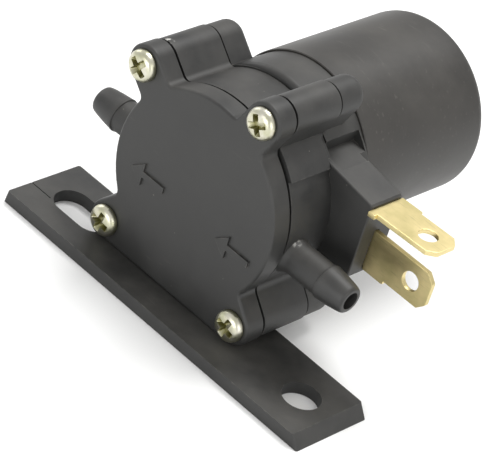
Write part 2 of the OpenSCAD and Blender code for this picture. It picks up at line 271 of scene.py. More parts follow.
UPRIGHT = Matrix(((1, 0, 0, 0), (0, 0, 1, 0), (0, 1, 0, 0), (0, 0, 0, 1)))


def of_kind(made, kind):
    """The parts of a bmesh operator's result that are vertices, edges or faces."""
    return [part for part in made["geom"] if isinstance(part, kind)]


def plate(loops, low, high, rim_low=0.0, rim_high=0.0, steps=3):
    """A plate lying in XY from closed loops, with its lower and upper rims rounded."""
    bm = bmesh.new()
    edges = []
    for loop in loops:
        ring = [bm.verts.new((x, y, low)) for x, y in loop]
        edges += [bm.edges.new((ring[i - 1], ring[i])) for i in range(len(ring))]
    bmesh.ops.triangle_fill(bm, use_beauty=True, edges=edges)
    bmesh.ops.dissolve_limit(bm, angle_limit=math.radians(0.05), verts=bm.verts, edges=bm.edges)
    raised = bmesh.ops.extrude_face_region(bm, geom=list(bm.faces))
    bmesh.ops.translate(bm, vec=(0, 0, high - low), verts=of_kind(raised, bmesh.types.BMVert))
    bmesh.ops.recalc_face_normals(bm, faces=bm.faces)
    for level, rim in ((low, rim_low), (high, rim_high)):
        if not rim:
            continue
        edges = []
        for edge in bm.edges:
            flat = all(abs(v.co.z - level) < 1e-5 for v in edge.verts)
            if flat and len(edge.link_faces) == 2 and edge.calc_face_angle() > 1.0:
                edges.append(edge)
        bmesh.ops.bevel(bm, geom=edges, offset=rim, offset_type="OFFSET", segments=steps, profile=0.5,
                        affect="EDGES", material=-1, clamp_overlap=False)
    return bm


def slab(loops, y0, y1, rim_front=0.0, rim_rear=0.0, steps=3):
    """A plate standing up, its outline in X and Z, from y0 to y1."""
    bm = plate(loops, y0, y1, rim_front, rim_rear, steps)
    bm.transform(UPRIGHT)
    bmesh.ops.recalc_face_normals(bm, faces=bm.faces)
    return bm


def turned(profile, steps=64):
    """A solid of revolution about +Z from (radius, height) points whose ends lie on the axis."""
    bm = bmesh.new()
    line = [bm.verts.new((r, 0, h)) for r, h in profile]
    edges = [bm.edges.new((line[i], line[i + 1])) for i in range(len(line) - 1)]
    bmesh.ops.spin(bm, geom=line + edges, cent=(0, 0, 0), axis=(0, 0, 1), angle=math.tau, steps=steps,
                   use_merge=True)
    bmesh.ops.remove_doubles(bm, verts=bm.verts, dist=1e-5)
    bmesh.ops.recalc_face_normals(bm, faces=bm.faces)
    return bm


def about_y(bm, x, z):
    """Turns a solid of revolution so that its height runs along +Y at x, z."""
    bm.transform(Matrix.Translation((x, 0, z)) @ Matrix.Rotation(math.radians(-90), 4, "X"))
    return bm


def about_x(bm, y, z, side):
    """Turns a solid of revolution so that its height runs along +X or -X."""
    bm.transform(Matrix.Translation((0, y, z)) @ Matrix.Rotation(math.radians(90 * side), 4, "Y"))
    return bm


def rod(x, z, r, y0, y1):
    """A plain cylinder along Y, for cutting."""
    return about_y(turned([(0, y0), (r, y0), (r, y1), (0, y1)]), x, z)


def block(low, high):
    """A plain box, for cutting or as a start."""
    bm = bmesh.new()
    bmesh.ops.create_cube(bm, size=1.0)
    low = Vector(low)
    high = Vector(high)
    bmesh.ops.scale(bm, vec=high - low, verts=bm.verts)
    bmesh.ops.translate(bm, vec=(low + high) / 2, verts=bm.verts)
    return bm


def as_object(bm, name="helper"):
    """Puts a bmesh into a new object of the scene."""
    mesh = bpy.data.meshes.new(name)
    bm.to_mesh(mesh)
    bm.free()
    obj = bpy.data.objects.new(name, mesh)
    bpy.context.scene.collection.objects.link(obj)
    return obj


def fused(solids, cuts=()):
    """One closed solid from overlapping ones, less the cutting solids."""
    base = as_object(solids[0])
    helpers = [(as_object(bm), "UNION") for bm in solids[1:]]
    helpers += [(as_object(bm), "DIFFERENCE") for bm in cuts]
    for helper, operation in helpers:
        join = base.modifiers.new(operation, "BOOLEAN")
        join.solver = "EXACT"
        join.operation = operation
        join.object = helper
    seen = base.evaluated_get(bpy.context.evaluated_depsgraph_get())
    bm = bmesh.new()
    bm.from_mesh(seen.to_mesh())
    seen.to_mesh_clear()
    for obj in [base] + [helper for helper, _ in helpers]:
        mesh = obj.data
        bpy.data.objects.remove(obj)
        bpy.data.meshes.remove(mesh)
    bmesh.ops.remove_doubles(bm, verts=bm.verts, dist=1e-4)
    bmesh.ops.dissolve_degenerate(bm, dist=1e-4, edges=bm.edges)
    return bm


def piece(bm, name, material, node, body="housing", crease=34.0):
    """Finishes a piece in metres, with smooth faces, its material, its CAD node and its moving body."""
    bmesh.ops.scale(bm, vec=(0.001, 0.001, 0.001), verts=bm.verts)
    obj = as_object(bm, name)
    mesh = obj.data
    mesh.name = name
    for face in mesh.polygons:
        face.use_smooth = True
    mesh.set_sharp_from_angle(angle=math.radians(crease))
    even = obj.modifiers.new("Even normals", "WEIGHTED_NORMAL")
    even.keep_sharp = True
    mesh.materials.append(material)
    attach(obj, body)
    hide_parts(node)
    return obj


# ---------------------------------------------------------------- materials


def add(tree, kind, links=(), **settings):
    """Adds a node. links maps input names or numbers to a socket or a value."""
    made = tree.nodes.new(kind)
    for key, value in settings.items():
        setattr(made, key, value)
    for key, value in dict(links).items():
        if isinstance(value, bpy.types.NodeSocket):
            tree.links.new(value, made.inputs[key])
        else:
            made.inputs[key].default_value = value
    return made


def shade(rgb):
    """A colour property as the four numbers that a socket takes."""
    return (rgb[0], rgb[1], rgb[2], 1.0)


def start(name):
    """A new node material, its tree and its Object coordinates."""
    mat = bpy.data.materials.new(name)
    mat.use_nodes = True
    tree = mat.node_tree
    tree.nodes.clear()
    return mat, tree, add(tree, "ShaderNodeTexCoord").outputs["Object"]


def end(mat, tree, links):
    """Closes a material with one Principled shader."""
    shader = add(tree, "ShaderNodeBsdfPrincipled", links)
    add(tree, "ShaderNodeOutputMaterial", {"Surface": shader.outputs[0]})
    mat.diffuse_color = (0.2, 0.2, 0.2, 1.0)
    return mat


def streaks(tree, where, turn, grain, low, high):
    """Fine scratches: noise drawn out along one direction and cut to its peaks. grain is in metres."""
    laid = add(tree, "ShaderNodeMapping", {"Vector": where, "Rotation": turn, "Scale": (0.1, 1.0, 1.0)})
    lines = add(tree, "ShaderNodeTexNoise", {"Vector": laid.outputs[0], "Scale": 1 / grain, "Detail": 2.0})
    cut = add(tree, "ShaderNodeMapRange", {"Value": lines.outputs[0], "From Min": low, "From Max": high})
    return cut.outputs[0]


def edge_wear_and_highlight(tree, radius):
    """1 on sharp outer edges and 0 on faces: the mask for edge wear and for a painted edge highlight."""
    soft = add(tree, "ShaderNodeBevel", {"Radius": radius}, samples=4)
    true = add(tree, "ShaderNodeNewGeometry")
    same = add(tree, "ShaderNodeVectorMath", {0: soft.outputs[0], 1: true.outputs["Normal"]},
               operation="DOT_PRODUCT")
    worn_and_highlit = add(tree, "ShaderNodeMapRange",
               {"Value": same.outputs["Value"], "From Min": 0.97, "From Max": 0.8})
    return worn_and_highlit.outputs[0]


# places where the moulding is chipped white, in metres: by the inlet's root and on the upper left ear's seam
CHIPS = ((0.0155, 0.006, 0.0194), (-0.015, 0.0043, 0.0353))


def moulded_nylon(name, seed, rough=0.5):
    """Glass filled black nylon, injection moulded: charcoal, satin, faintly clouded, with a fine skin."""
    c = bpy.context.scene.pump_colours
    mat, tree, where = start(name)
    moved = add(tree, "ShaderNodeMapping", {"Vector": where, "Location": (seed, seed / 2, 0)}).outputs[0]
    # flow clouding about 9 mm across
    cloud = add(tree, "ShaderNodeTexNoise",
                {"Vector": moved, "Scale": 110.0, "Detail": 4.0, "Roughness": 0.6})
    pale = [min(1.0, v * 1.35) for v in c.nylon]
    deep = [v * 0.78 for v in c.nylon]
    tone = add(tree, "ShaderNodeMapRange", {"Value": cloud.outputs[0], "From Min": 0.3, "From Max": 0.7})
    base = add(tree, "ShaderNodeMix", {0: tone.outputs[0], 6: shade(deep), 7: shade(pale)},
               data_type="RGBA").outputs[2]
    # dust that has settled on upward faces, and painted top light: faces are lighter the more they face up
    facing = add(tree, "ShaderNodeSeparateXYZ", {0: add(tree, "ShaderNodeNewGeometry").outputs["Normal"]})
    dust_and_top_light = add(tree, "ShaderNodeMapRange",
                  {"Value": facing.outputs[2], "From Min": 0.2, "From Max": 1.0, "To Max": 0.16})
    patchy_dust_and_top_light = add(tree, "ShaderNodeMath", {0: dust_and_top_light.outputs[0], 1: tone.outputs[0]}, operation="MULTIPLY")
    base = add(tree, "ShaderNodeMix", {0: patchy_dust_and_top_light.outputs[0], 6: base, 7: shade(c.dust_and_sheen)},
               data_type="RGBA").outputs[2]
    # a few short scuffs, and pale specks 0.2 mm across and some 3 mm apart
    marks = streaks(tree, moved, (0.9, 0.2, 2.1), 0.0004, 0.7, 0.85)
    faint = add(tree, "ShaderNodeMath", {0: marks, 1: 0.12}, operation="MULTIPLY")
    base = add(tree, "ShaderNodeMix", {0: faint.outputs[0], 6: base, 7: shade(c.dust_and_sheen)},
               data_type="RGBA").outputs[2]
    dots = add(tree, "ShaderNodeTexVoronoi", {"Vector": moved, "Scale": 330.0})
    speck = add(tree, "ShaderNodeMapRange",
                {"Value": dots.outputs["Distance"], "From Min": 0.04, "From Max": 0.02, "To Max": 0.5})
    base = add(tree, "ShaderNodeMix", {0: speck.outputs[0], 6: base, 7: shade(c.dust_and_sheen)},
               data_type="RGBA").outputs[2]
    for spot in CHIPS:
        away = add(tree, "ShaderNodeVectorMath", {0: where, 1: spot}, operation="DISTANCE")
        near = add(tree, "ShaderNodeMapRange",
                   {"Value": away.outputs["Value"], "From Min": 0.0009, "From Max": 0.0003})
        rough_edge = add(tree, "ShaderNodeTexNoise", {"Vector": where, "Scale": 1600.0, "Detail": 3.0})
        torn = add(tree, "ShaderNodeMapRange",
                   {"Value": rough_edge.outputs[0], "From Min": 0.5, "From Max": 0.6, "To Max": 0.9})
        chip = add(tree, "ShaderNodeMath", {0: near.outputs[0], 1: torn.outputs[0]}, operation="MULTIPLY")
        base = add(tree, "ShaderNodeMix", {0: chip.outputs[0], 6: base, 7: shade(linear("#c9c8c2"))},
                   data_type="RGBA").outputs[2]
    # painted shade: the base darkens to a deeper black in inside corners, where ambient occlusion finds
    # nearby surfaces
    open_sky = add(tree, "ShaderNodeAmbientOcclusion", {"Distance": 0.006}, samples=4)
    film = add(tree, "ShaderNodeMapRange",
               {"Value": open_sky.outputs["AO"], "From Min": 0.8, "From Max": 0.3, "To Max": 0.2})
    base = add(tree, "ShaderNodeMix", {0: film.outputs[0], 6: base, 7: shade([v * 0.35 for v in c.nylon])},
               data_type="RGBA").outputs[2]
    # edges lighter in patches: partly rubbed wear, partly a painted highlight along sharp edges
    worn_and_highlit = edge_wear_and_highlight(tree, 0.00028)
    chips = add(tree, "ShaderNodeTexNoise", {"Vector": moved, "Scale": 900.0, "Detail": 3.0})
    chipped = add(tree, "ShaderNodeMapRange", {"Value": chips.outputs[0], "From Min": 0.45, "From Max": 0.7})
    rubbed_and_highlit = add(tree, "ShaderNodeMath", {0: worn_and_highlit, 1: chipped.outputs[0]}, operation="MULTIPLY")
    rubbed_and_highlit = add(tree, "ShaderNodeMath", {0: rubbed_and_highlit.outputs[0], 1: 0.4}, operation="MULTIPLY")
    base = add(tree, "ShaderNodeMix", {0: rubbed_and_highlit.outputs[0], 6: base, 7: shade(c.dust_and_sheen)},
               data_type="RGBA").outputs[2]
    # skin grain 0.3 mm across
    grain = add(tree, "ShaderNodeTexNoise", {"Vector": moved, "Scale": 3300.0, "Detail": 2.0})
    wavy = add(tree, "ShaderNodeTexNoise", {"Vector": moved, "Scale": 420.0, "Detail": 2.0})
    fine = add(tree, "ShaderNodeBump", {"Height": grain.outputs[0], "Strength": 0.22, "Distance": 0.00003})
    skin = add(tree, "ShaderNodeBump",
               {"Height": wavy.outputs[0], "Strength": 0.25, "Distance": 0.00008, "Normal": fine.outputs[0]})
    gloss = add(tree, "ShaderNodeMapRange",
                {"Value": cloud.outputs[0], "From Min": 0.3, "From Max": 0.7, "To Min": rough - 0.06,
                 "To Max": rough + 0.08})
    return end(mat, tree, {"Base Color": base, "Roughness": gloss.outputs[0], "IOR": 1.5,
                           "Normal": skin.outputs[0]})


def coated_can(name):
    """Thin baked coat on a drawn steel can: brownish black, smoother than the plastic, faint rubs."""
    c = bpy.context.scene.pump_colours
    mat, tree, where = start(name)
    cloud = add(tree, "ShaderNodeTexNoise",
                {"Vector": where, "Scale": 60.0, "Detail": 5.0, "Roughness": 0.65})
    tone = add(tree, "ShaderNodeMapRange", {"Value": cloud.outputs[0], "From Min": 0.3, "From Max": 0.7})
    deep = [v * 0.8 for v in c.can_paint]
    pale = [v * 1.25 for v in c.can_paint]
    base = add(tree, "ShaderNodeMix", {0: tone.outputs[0], 6: shade(deep), 7: shade(pale)},
               data_type="RGBA").outputs[2]
    # handling rubs, drawn out along X, across the can
    rubs = streaks(tree, where, (0.0, 0.0, 0.0), 0.0006, 0.64, 0.85)
    faint = add(tree, "ShaderNodeMath", {0: rubs, 1: 0.2}, operation="MULTIPLY")
    base = add(tree, "ShaderNodeMix", {0: faint.outputs[0], 6: base, 7: shade(c.dust_and_sheen)},
               data_type="RGBA").outputs[2]
    # dust on upward faces, and painted top light: faces are lighter the more they face up
    facing = add(tree, "ShaderNodeSeparateXYZ", {0: add(tree, "ShaderNodeNewGeometry").outputs["Normal"]})
    dust_and_top_light = add(tree, "ShaderNodeMapRange",
                  {"Value": facing.outputs[2], "From Min": 0.2, "From Max": 1.0, "To Max": 0.14})
    patchy_dust_and_top_light = add(tree, "ShaderNodeMath", {0: dust_and_top_light.outputs[0], 1: tone.outputs[0]}, operation="MULTIPLY")
    base = add(tree, "ShaderNodeMix", {0: patchy_dust_and_top_light.outputs[0], 6: base, 7: shade(c.dust_and_sheen)},
               data_type="RGBA").outputs[2]
    # orange peel of the coat, about 1 mm
    peel = add(tree, "ShaderNodeTexNoise", {"Vector": where, "Scale": 1000.0, "Detail": 1.0})
    wavy = add(tree, "ShaderNodeTexNoise", {"Vector": where, "Scale": 150.0, "Detail": 2.0})
    fine = add(tree, "ShaderNodeBump", {"Height": peel.outputs[0], "Strength": 0.12, "Distance": 0.00005})
    skin = add(tree, "ShaderNodeBump",
               {"Height": wavy.outputs[0], "Strength": 0.2, "Distance": 0.00012, "Normal": fine.outputs[0]})
    gloss = add(tree, "ShaderNodeMapRange",
                {"Value": cloud.outputs[0], "From Min": 0.3, "From Max": 0.7, "To Min": 0.4, "To Max": 0.52})
    return end(mat, tree, {"Base Color": base, "Roughness": gloss.outputs[0], "IOR": 1.5,
                           "Normal": skin.outputs[0]})


def yellow_zinc(name):
    """Zinc plated steel, yellow passivated: pale silver with straw and green casts, softly bright."""
    c = bpy.context.scene.pump_colours
    mat, tree, where = start(name)
    cast = add(tree, "ShaderNodeTexNoise", {"Vector": where, "Scale": 700.0, "Detail": 2.0})
    tone = add(tree, "ShaderNodeMapRange", {"Value": cast.outputs[0], "From Min": 0.35, "From Max": 0.65})
    straw = add(tree, "ShaderNodeMix", {0: tone.outputs[0], 6: shade(c.zinc), 7: shade(linear("#bcbba0"))},
                data_type="RGBA").outputs[2]
    # painted shade: the recess darkens to olive where ambient occlusion finds nearby surfaces
    open_sky = add(tree, "ShaderNodeAmbientOcclusion", {"Distance": 0.0012}, samples=6)
    painted_recess_shade = add(tree, "ShaderNodeMapRange",
                {"Value": open_sky.outputs["AO"], "From Min": 0.9, "From Max": 0.4})
    straw = add(tree, "ShaderNodeMix", {0: painted_recess_shade.outputs[0], 6: straw, 7: shade(linear("#8f8c5c"))},
                data_type="RGBA").outputs[2]
    pits = add(tree, "ShaderNodeTexNoise", {"Vector": where, "Scale": 2600.0, "Detail": 2.0})
    skin = add(tree, "ShaderNodeBump", {"Height": pits.outputs[0], "Strength": 0.4, "Distance": 0.00004})
    gloss = add(tree, "ShaderNodeMapRange", {"Value": pits.outputs[0], "To Min": 0.22, "To Max": 0.42})
    return end(mat, tree, {"Base Color": straw, "Metallic": 1.0, "Roughness": gloss.outputs[0],
                           "Normal": skin.outputs[0]})


def stamped_brass(name):
    """Tin washed brass strip, stamped: pale straw, brushed along the strip, with a few rub marks."""
    c = bpy.context.scene.pump_colours
    mat, tree, where = start(name)
    cast = add(tree, "ShaderNodeTexNoise", {"Vector": where, "Scale": 260.0, "Detail": 4.0})
    tone = add(tree, "ShaderNodeMapRange", {"Value": cast.outputs[0], "From Min": 0.35, "From Max": 0.68})
    base = add(tree, "ShaderNodeMix", {0: tone.outputs[0], 6: shade(c.brass), 7: shade(linear("#c8bb86"))},
               data_type="RGBA").outputs[2]
    # rolling lines along the strip, 0.1 mm apart
    lines = add(tree, "ShaderNodeMapping", {"Vector": where, "Scale": (0.03, 1.0, 1.0)})
    brushed = add(tree, "ShaderNodeTexNoise", {"Vector": lines.outputs[0], "Scale": 9000.0, "Detail": 2.0})
    marks = streaks(tree, where, (0.3, 0.4, 1.0), 0.0003, 0.6, 0.75)
    faint = add(tree, "ShaderNodeMath", {0: marks, 1: 0.35}, operation="MULTIPLY")
    base = add(tree, "ShaderNodeMix", {0: faint.outputs[0], 6: base, 7: shade(linear("#8f8a68"))},
               data_type="RGBA").outputs[2]
    skin = add(tree, "ShaderNodeBump", {"Height": brushed.outputs[0], "Strength": 0.15, "Distance": 0.00001})
    gloss = add(tree, "ShaderNodeMapRange", {"Value": brushed.outputs[0], "To Min": 0.3, "To Max": 0.5})
    return end(mat, tree, {"Base Color": base, "Metallic": 1.0, "Roughness": gloss.outputs[0],
                           "Normal": skin.outputs[0]})


def plain_finish(name, code, second, metallic, rough, grain, relief):
    """A finish for a part inside the pump: two close tones, a grain of its real size and a slight relief."""
    mat, tree, where = start(name)
    cloud = add(tree, "ShaderNodeTexNoise", {"Vector": where, "Scale": 1 / grain, "Detail": 4.0})
    tone = add(tree, "ShaderNodeMapRange", {"Value": cloud.outputs[0], "From Min": 0.35, "From Max": 0.65})
    base = add(tree, "ShaderNodeMix", {0: tone.outputs[0], 6: shade(linear(code)), 7: shade(linear(second))},
               data_type="RGBA").outputs[2]
    skin = add(tree, "ShaderNodeBump", {"Height": cloud.outputs[0], "Strength": 0.3, "Distance": relief})
    gloss = add(tree, "ShaderNodeMapRange",
                {"Value": cloud.outputs[0], "To Min": rough - 0.07, "To Max": rough + 0.07})
    return end(mat, tree, {"Base Color": base, "Metallic": metallic, "Roughness": gloss.outputs[0],
                           "Normal": skin.outputs[0]})


# ---------------------------------------------------------------- pieces


class PUMP_OT_stage(bpy.types.Operator):
    """Pale floor, soft studio light and the camera"""

    bl_idname = "pump.stage"
    bl_label = "Stage"

    def execute(self, context):
        scene = context.scene
        scene.view_settings.view_transform = "Standard"
        world = bpy.data.worlds.new("Studio white")
        world.use_nodes = True
        sky = world.node_tree.nodes["Background"]
        sky.inputs["Color"].default_value = (1.0, 1.0, 1.0, 1.0)
        sky.inputs["Strength"].default_value = 0.82
        scene.world = world

        bm = bmesh.new()
        bmesh.ops.create_grid(bm, x_segments=1, y_segments=1, size=3.0)
        # a hair below the foot, so that the two never share a plane
        bmesh.ops.translate(bm, vec=(0, 0, -0.00002), verts=bm.verts)
        floor = as_object(bm, "studio_floor")
        mat, tree, where = start("Pale studio card")
        speck = add(tree, "ShaderNodeTexNoise", {"Vector": where, "Scale": 900.0, "Detail": 2.0})
        tone = add(tree, "ShaderNodeMapRange", {"Value": speck.outputs[0], "To Min": 0.96, "To Max": 1.0})
        card = scene.pump_colours.floor
        dim = [v * 0.97 for v in card]
        base = add(tree, "ShaderNodeMix", {0: tone.outputs[0], 6: shade(dim), 7: shade(card)},
                   data_type="RGBA").outputs[2]
        end(mat, tree, {"Base Color": base, "Roughness": 0.9})
        floor.data.materials.append(mat)

        centre = Vector((0.003, 0.02, 0.012))
        for name, place, side, power in (
            ("Overhead softbox", (-0.06, 0.24, 0.6), 0.25, 2.3),
            ("Right strip", (0.6, -0.1, 0.2), 0.4, 0.9),
            ("Front fill", (0.1, -0.75, 0.16), 0.5, 2.3),
            ("Left strip", (-0.7, 0.1, 0.3), 0.35, 0.8),
        ):
            light = bpy.data.lights.new(name, "AREA")
            light.size = side
            light.energy = power
            lamp = bpy.data.objects.new(name, light)
            scene.collection.objects.link(lamp)
            aim = (centre - Vector(place)).to_track_quat("-Z", "Y")
            lamp.matrix_world = Matrix.Translation(place) @ aim.to_matrix().to_4x4()

        azimuth, elevation, roll = (math.radians(a) for a in (34.2, 34.4, 18.4))
        target = Vector((0.00124, 0.0133, 0.0096))
        distance = 0.4578
        back = Vector((math.sin(azimuth) * math.cos(elevation), -math.cos(azimuth) * math.cos(elevation),
                       math.sin(elevation)))
        right = (-back).cross(Vector((0, 0, 1))).normalized()
        up = right.cross(-back)
        rolled = right * math.cos(roll) + up * math.sin(roll)
        up = up * math.cos(roll) - right * math.sin(roll)
        data = bpy.data.cameras.new("Studio camera")
        data.sensor_fit = "HORIZONTAL"
        data.sensor_width = 36.0
        data.lens = 230.98
        data.clip_start = 0.02
        data.clip_end = 10.0
        camera = bpy.data.objects.new("Studio camera", data)
        scene.collection.objects.link(camera)
        turn = Matrix((rolled, up, back)).transposed().to_4x4()
        camera.matrix_world = Matrix.Translation(target + back * distance) @ turn
        scene.camera = camera
        return {"FINISHED"}


def flow_arrow(cx, cz):
    """Outline of a plain arrow pointing left."""
    points = [(-3.4, 0.0), (-1.0, -1.9), (-1.0, -0.5), (3.3, -0.5), (3.3, 0.5), (-1.0, 0.5), (-1.0, 1.9)]
    return [(cx + x, cz + z) for x, z in points]


class PUMP_OT_front_cover(bpy.types.Operator):
    """Round cover with four screw ears and raised flow arrows"""

    bl_idname = "pump.front_cover"
    bl_label = "Front cover"

    def execute(self, context):
        s = context.scene.pump_sizes
        thick = COVER_HIGH.y
        # the outer shell stops short of the seam, and a smaller core goes on to it
        solids = [slab([housing_loop(0.0)], 0.0, thick - mm(s.seam_gap), mm(s.edge), mm(s.seam_edge), 4),
                  slab([housing_loop(mm(s.seam_deep))], 1.0, thick)]
        for x, z in ((-8.2, 16.6), (9.6, 16.0)):
            solids.append(slab([flow_arrow(x, z)], -ARROW_PROUD, 0.2, 0.05, 0.0, 2))
        cuts = [rod(x, z, SCREW_HOLE_R, -1.0, thick + 1.0) for x, z, _ in screw_places()]
        nylon = moulded_nylon("Moulded black nylon, cover", 0.3, 0.5)
        piece(fused(solids, cuts), "front_cover_moulding", nylon, "front_cover")
        return {"FINISHED"}


def spigot(side, y, z):
    """Hose spigot: flared root, barrel, shallow barb and a rounded tapered tip."""
    s = bpy.context.scene.pump_sizes
    r = mm(s.spigot_r)
    tip = SPIGOT_TIP + side * SPIGOT_SHIFT
    root = [(0, 11.0), (r + 0.9, 11.0), (r + 0.9, 14.4), (r + 0.55, 14.9), (r + 0.25, 15.4),
            (r + 0.07, 15.9), (r, 16.5)]
    barb = [(r, tip - 4.95), (r + 0.06, tip - 4.85), (r + 0.2, tip - 4.75), (r + 0.22, tip - 4.55),
            (r + 0.14, tip - 4.1), (r - 0.02, tip - 2.6)]
    nose = [(r - 0.24, tip - 1.2), (r - 0.38, tip - 0.5), (r - 0.5, tip - 0.2), (r - 0.7, tip - 0.03),
            (r - 0.85, tip), (0, tip)]
    return about_x(turned(root + barb + nose, 48), y, z, side)


def foot_bar():
    """Flat bar with a slot at the left, a hole at the right and ends that slope in towards the top."""
    s = bpy.context.scene.pump_sizes
    left, right = BODY_LOW.x, BODY_HIGH.x
    front, rear = BODY_LOW.y, BODY_LOW.y + 14.8
    thick = FOOT_THICK
    right_slope = 1.6
    left_slope = 0.3
    ragged_step = 0.6
    half = mm(s.slot_w) / 2
    margin = mm(s.slot_margin)
    middle = (front + rear) / 2
    corner = 0.35
    outer = []
    for cx, cy, a in ((right - corner, rear - corner, 0), (left + corner, rear - corner, 90),
                      (left + corner, front + corner, 180), (right - corner, front + corner, 270)):
        outer += arc(cx, cy, corner, a, a + 90, 30.0)
    # long edges in short steps, so that the ragged moulding edge can be drawn in
    full = []
    for i, point in enumerate(outer):
        full.append(point)
        after = outer[(i + 1) % len(outer)]
        count = int(math.dist(point, after) / ragged_step)
        for k in range(1, count):
            t = k / count
            full.append((point[0] + (after[0] - point[0]) * t, point[1] + (after[1] - point[1]) * t))
    slot_start = left + margin + half
    slot_stop = left + margin + mm(s.slot_len) - half
    slot = arc(slot_start, middle, half, 90, 270, 7.5) + arc(slot_stop, middle, half, -90, 90, 7.5)
    hole = circle(right - margin - half, middle, half, 7.5)
    bm = plate([thinned(full), thinned(slot), hole], 0.0, thick, 0.12, 0.0, 2)
    for v in bm.verts:
        up = v.co.z / thick
        if v.co.x > right - 1.0:
            v.co.x -= right_slope * up
        if v.co.x < left + 1.0:
            v.co.x += left_slope * up
        on_side = v.co.y > rear - 0.01 or v.co.y < front + 0.01
        if on_side and up > 0.9 and left + 2 < v.co.x < right - 2:
            inward = 0.06 + 0.13 * noise.noise(Vector((v.co.x * 1.1, v.co.y, 3.0)))
            v.co.y += -inward if v.co.y > 0 else inward
    return bm


class PUMP_OT_pump_body(bpy.types.Operator):
    """Mid body with its foot bar and two hose spigots, one moulding"""

    bl_idname = "pump.body"
    bl_label = "Pump body"

    def execute(self, context):
        s = context.scene.pump_sizes
        front, rear = COVER_HIGH.y, BODY_HIGH.y
        gap = mm(s.seam_gap)
        # the groove behind the cover is wider than the other one
        shell_front = front + 0.32
        rim = mm(s.seam_edge)
        shell = slab([housing_loop(mm(s.seam_step))], shell_front, rear - gap, rim, rim, 2)
        core = slab([housing_loop(mm(s.seam_deep))], front, rear)
        disc_z = disc_centre()
        disc_r = mm(s.cover_r) - mm(s.seam_step)
        disc = slab([circle(0, disc_z, disc_r, 4.0)], front + 1.0, rear - 0.03, 0.0, 0.05, 2)
        # flat raised pad on the side wall, below the upper right ear
        pad_outline = arc(0, disc_z, 16.1, 37.0, 59.0, 5.5) + arc(0, disc_z, 14.5, 59.0, 37.0, 5.5)
        pad = slab([pad_outline], shell_front, rear - 1.05, 0.12, 0.12, 2)
        # joins the bar to the flat bottom between the lower screws
        low = screw_places()[0][0]
        web = block((-low, 3.496, 1.0), (low, 9.172, 2.6))
        solids = [shell, core, disc, pad, foot_bar(), web]
        solids += [spigot(side, PORT_Y, PORT_Z) for side in (1, -1)]
        chamber_end = front + CHAMBER_DEEP
        # both spigots' bores, each stepping down to a narrower port into the gear chamber
        bore = mm(s.bore_r)
        port = 1.05
        step = 7.1
        past = 30.0
        across = [(0, -past), (bore, -past), (bore, -step), (port, -step), (port, step), (bore, step),
                  (bore, past), (0, past)]
        cuts = [about_x(turned(across, 40), PORT_Y, PORT_Z, 1)]
        for z in (AXIS_Z, IDLER_Z):
            cuts.append(rod(0, z, CHAMBER_R, front - 1, chamber_end))
        cuts.append(rod(0, AXIS_Z, SHAFT_HOLE_R, chamber_end - 1, rear + 1))
        # pocket for the shaft seal, and the hole that holds the idler's pin
        seal_pocket_r = 4.02
        pin_hole_r = 1.52
        cuts.append(rod(0, AXIS_Z, seal_pocket_r, SEAL_LOW.y, rear + 1))
        cuts.append(rod(0, IDLER_Z, pin_hole_r, chamber_end - 1, PIN_HIGH.y))
        # parting line of the mould across the bar's left end, as far as the slot
        cuts.append(block((BODY_LOW.x - 1, -0.8, 1.9), (BODY_LOW.x + 4.5, -0.62, 3.0)))
        for x, z, _ in screw_places():
            cuts.append(rod(x, z, SCREW_HOLE_R, front - 1, rear + 1))
        nylon = moulded_nylon("Moulded black nylon, body", 0.0, 0.5)
        piece(fused(solids, cuts), "pump_body_moulding", nylon, "pump_body")
        return {"FINISHED"}


